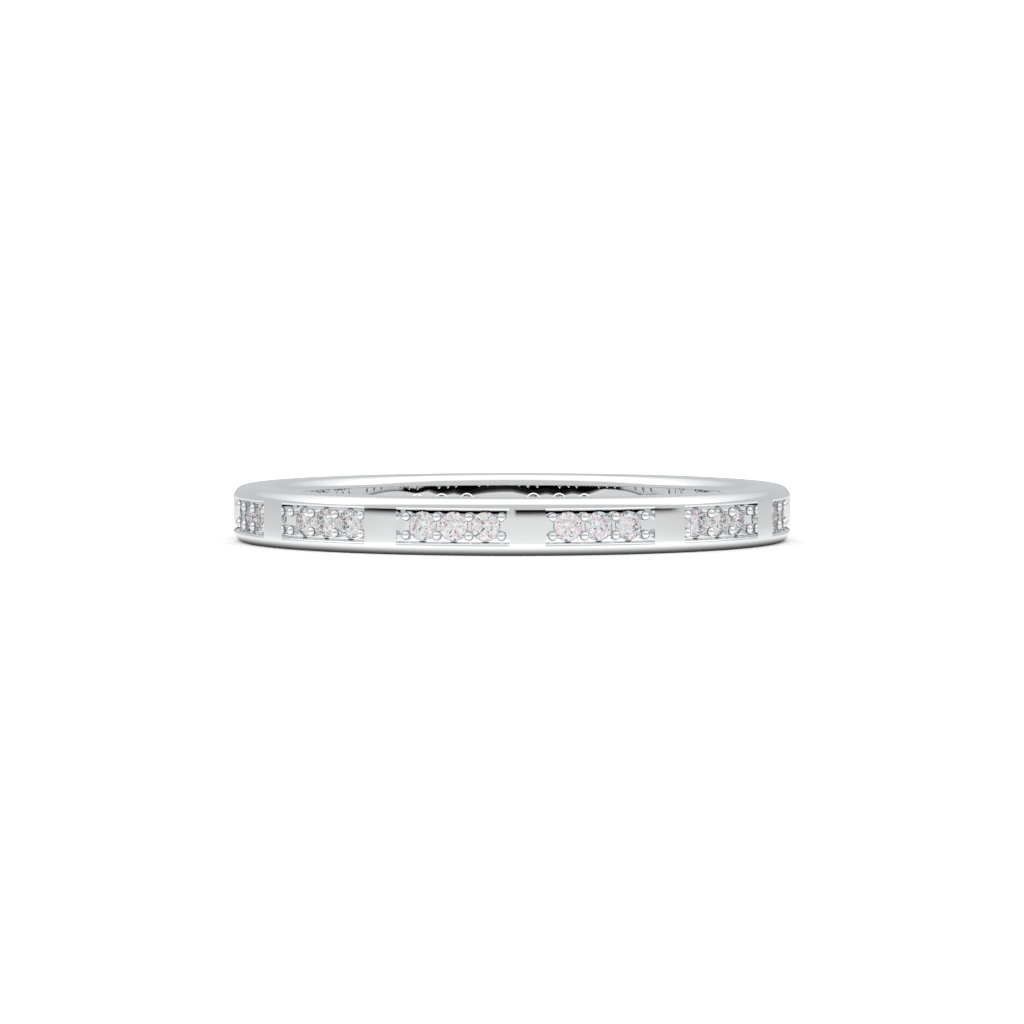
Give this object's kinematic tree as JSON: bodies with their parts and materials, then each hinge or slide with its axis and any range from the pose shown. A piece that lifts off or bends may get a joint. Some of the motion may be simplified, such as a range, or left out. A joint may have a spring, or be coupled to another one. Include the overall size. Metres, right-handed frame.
{
  "type": "diamond wedding band",
  "caption": "Slim round ring with rounded edges; small brilliant stones sit in sunk panels, held by beads, with plain polished bars between the panels.",
  "frame": {"origin": "on the flat side that the ring rests on, at the centre of the finger hole", "axes": "+Z along the finger, out of the resting side; a plain bar of the band is centred on -Y"},
  "size_m": [0.0204, 0.0204, 0.002],
  "materials": {
    "white_gold": "mirror polish",
    "diamond": "cut and polished facets"
  },
  "bodies": {
    "root": {"band": "white_gold", "stone_01": "diamond", "stone_02": "diamond", "stone_03": "diamond", "stone_04": "diamond", "stone_05": "diamond", "stone_06": "diamond", "stone_07": "diamond", "stone_08": "diamond", "stone_09": "diamond", "stone_10": "diamond", "stone_11": "diamond", "stone_12": "diamond", "stone_13": "diamond", "stone_14": "diamond", "stone_15": "diamond", "stone_16": "diamond", "stone_17": "diamond", "stone_18": "diamond", "stone_19": "diamond", "stone_20": "diamond", "stone_21": "diamond", "stone_22": "diamond", "stone_23": "diamond", "stone_24": "diamond", "stone_25": "diamond", "stone_26": "diamond", "stone_27": "diamond", "stone_28": "diamond", "stone_29": "diamond", "stone_30": "diamond", "stone_31": "diamond", "stone_32": "diamond", "stone_33": "diamond", "stone_34": "diamond", "stone_35": "diamond", "stone_36": "diamond"}
  },
  "joints": []
}
